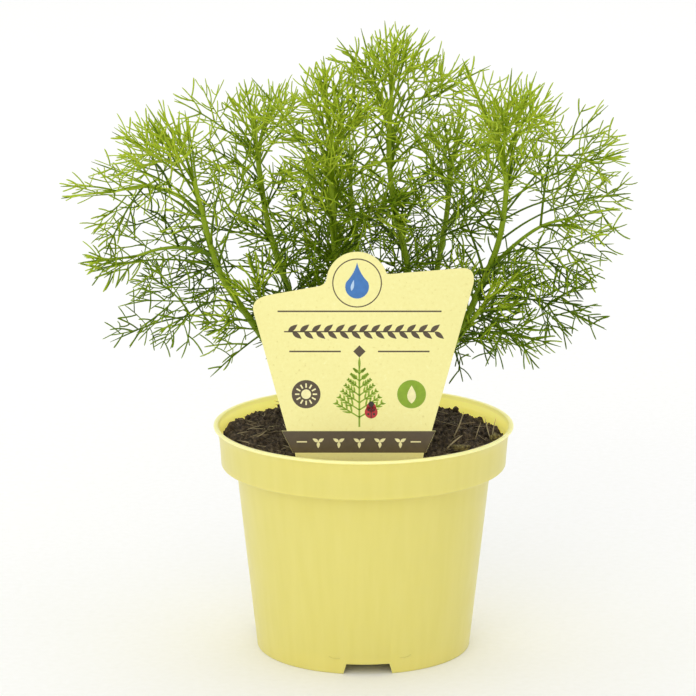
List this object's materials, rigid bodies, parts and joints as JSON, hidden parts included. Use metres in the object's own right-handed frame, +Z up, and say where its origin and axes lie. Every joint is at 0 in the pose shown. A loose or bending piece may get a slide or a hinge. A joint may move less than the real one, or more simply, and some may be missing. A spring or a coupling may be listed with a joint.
{
  "type": "potted southernwood",
  "caption": "Feathery culinary herb grown from cuttings in a round plastic pot with a deep rim band, filled with soil, with a plant label standing in front.",
  "frame": {"origin": "on the surface that the pot stands on, below the middle of the whole object's box", "axes": "+Z up, and the printed face of the label looks towards -Y"},
  "size_m": [0.2244, 0.158, 0.2467],
  "materials": {
    "pot_plastic": "injection-moulded polypropylene, pale yellow, soft satin gloss",
    "potting_soil": "dark, crumbly, fibrous peat compost, matt",
    "label_card": "printed plastic card, pale yellow with a brown foot band, satin",
    "foliage": "fresh green herb leaves and stems, soft satin"
  },
  "bodies": {
    "root": {"pot": "pot_plastic", "soil": "potting_soil", "label": "label_card", "shoot_left": "foliage", "shoot_middle_left": "foliage", "shoot_middle_right": "foliage", "shoot_right": "foliage", "shoot_back_left": "foliage", "shoot_back_right": "foliage", "shoot_back": "foliage", "shoot_low_left": "foliage", "shoot_low_right": "foliage"}
  },
  "joints": []
}
